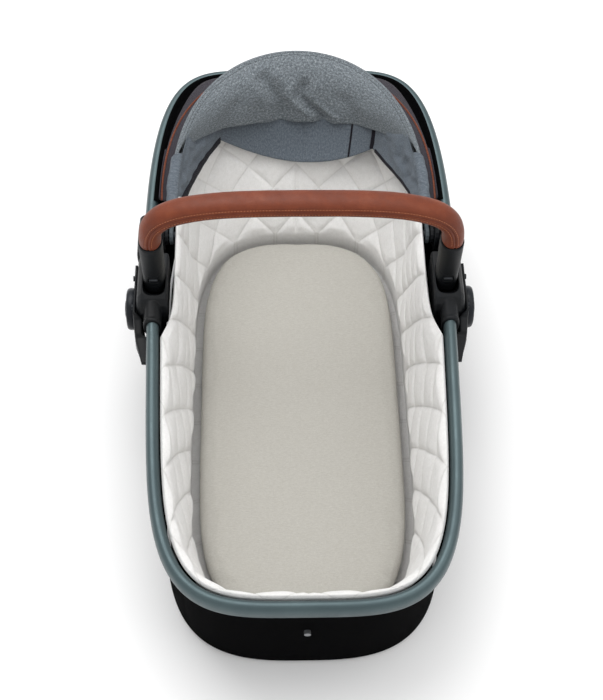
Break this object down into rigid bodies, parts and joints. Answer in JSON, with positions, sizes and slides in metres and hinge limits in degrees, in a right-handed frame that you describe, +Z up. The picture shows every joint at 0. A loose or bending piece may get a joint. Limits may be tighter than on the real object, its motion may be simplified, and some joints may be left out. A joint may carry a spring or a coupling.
{
  "type": "baby stroller",
  "caption": "Carrycot of a baby stroller: oval tube rim, quilted tub, mattress, tilting carry handle, folding hood and side chassis adaptors.",
  "frame": {"origin": "on the floor, at the middle of the base of the whole carrycot", "axes": "+Y from the foot end to the head end along the length, +X across the width, +Z up"},
  "size_m": [0.513, 0.901, 0.4165],
  "materials": {
    "rim_paint": "satin",
    "black_plastic": "matte",
    "black_fabric": "matte",
    "liner_fabric": "matte",
    "mattress_fabric": "matte",
    "leather_tan": "satin",
    "hood_fabric": "matte",
    "lining_fabric": "matte",
    "rear_fabric": "matte",
    "steel": "satin",
    "rubber": "matte",
    "board": "matte",
    "bow_plastic": "matte"
  },
  "bodies": {
    "cot": {"adaptor_bracket_left": "black_plastic", "adaptor_bracket_right": "black_plastic", "adaptor_spring_left": "steel", "adaptor_spring_right": "steel", "base_frame_wire": "steel", "base_tray": "black_plastic", "bracket_screw_1_left": "steel", "bracket_screw_1_right": "steel", "bracket_screw_2_left": "steel", "bracket_screw_2_right": "steel", "chassis_adaptor_left": "black_plastic", "chassis_adaptor_right": "black_plastic", "front_rim_tube": "rim_paint", "handle_pivot_pin_left": "steel", "handle_pivot_pin_right": "steel", "hood_hinge_bracket_left": "black_plastic", "hood_hinge_bracket_right": "black_plastic", "hood_pivot_pin_left": "steel", "hood_pivot_pin_right": "steel", "hood_rear_panel": "rear_fabric", "joint_inner_shell_left": "black_plastic", "joint_inner_shell_right": "black_plastic", "joint_outer_shell_left": "black_plastic", "joint_outer_shell_right": "black_plastic", "liner": "liner_fabric", "mattress": "mattress_fabric", "mattress_board": "board", "outer_cover": "black_fabric", "rear_rim_tube": "rim_paint", "rear_tube_socket_left": "black_plastic", "rear_tube_socket_right": "black_plastic", "rubber_foot_foot_left": "rubber", "rubber_foot_foot_right": "rubber", "rubber_foot_head_left": "rubber", "rubber_foot_head_right": "rubber", "snap_stud": "steel"},
    "handle": {"handle_core_tube": "steel", "handle_leather_wrap": "leather_tan", "handle_end_left": "black_plastic", "handle_end_right": "black_plastic", "catch_spring_left": "steel", "catch_spring_right": "steel"},
    "hood_middle": {"hood_middle_bow": "bow_plastic", "middle_bow_end_left": "black_plastic", "middle_bow_end_right": "black_plastic", "hood_front_panel": "hood_fabric", "hood_lining": "lining_fabric"},
    "hood_front": {"hood_front_bow": "bow_plastic", "front_bow_end_left": "black_plastic", "front_bow_end_right": "black_plastic", "hood_visor": "hood_fabric"},
    "catch_left": {"handle_catch_left": "steel"},
    "catch_right": {"handle_catch_right": "steel"},
    "adaptor_button_left": {"adaptor_button_left": "black_plastic"},
    "adaptor_button_right": {"adaptor_button_right": "black_plastic"}
  },
  "joints": [
    {"name": "handle_tilt", "type": "hinge", "parent": "cot", "child": "handle", "pos_m": [0, 0.043, 0.236], "axis": [1, 0, 0], "range_deg": [0, 40]},
    {"name": "hood_fold", "type": "hinge", "parent": "cot", "child": "hood_middle", "pos_m": [0, 0.128, 0.235], "axis": [1, 0, 0], "range_deg": [0, 42.5]},
    {"name": "hood_spread", "type": "hinge", "parent": "hood_middle", "child": "hood_front", "pos_m": [0, 0.128, 0.235], "axis": [1, 0, 0], "range_deg": [0, 42.5]},
    {"name": "catch_press_left", "type": "slide", "parent": "handle", "child": "catch_left", "axis": [0, 1, 0], "range_m": [0, 0.0025], "stiffness_N_per_m": 200, "springref_m": -0.002, "deforming": ["catch_spring_left"]},
    {"name": "adaptor_press_left", "type": "slide", "parent": "cot", "child": "adaptor_button_left", "axis": [1, 0, 0], "range_m": [0, 0.004], "stiffness_N_per_m": 300, "springref_m": -0.002, "deforming": ["adaptor_spring_left"]},
    {"name": "catch_press_right", "type": "slide", "parent": "handle", "child": "catch_right", "axis": [0, 1, 0], "range_m": [0, 0.0025], "stiffness_N_per_m": 200, "springref_m": -0.002, "deforming": ["catch_spring_right"]},
    {"name": "adaptor_press_right", "type": "slide", "parent": "cot", "child": "adaptor_button_right", "axis": [-1, 0, 0], "range_m": [0, 0.004], "stiffness_N_per_m": 300, "springref_m": -0.002, "deforming": ["adaptor_spring_right"]}
  ],
  "couplings": [
    {"joint": "hood_spread", "follows": "hood_fold", "ratio": 1}
  ]
}
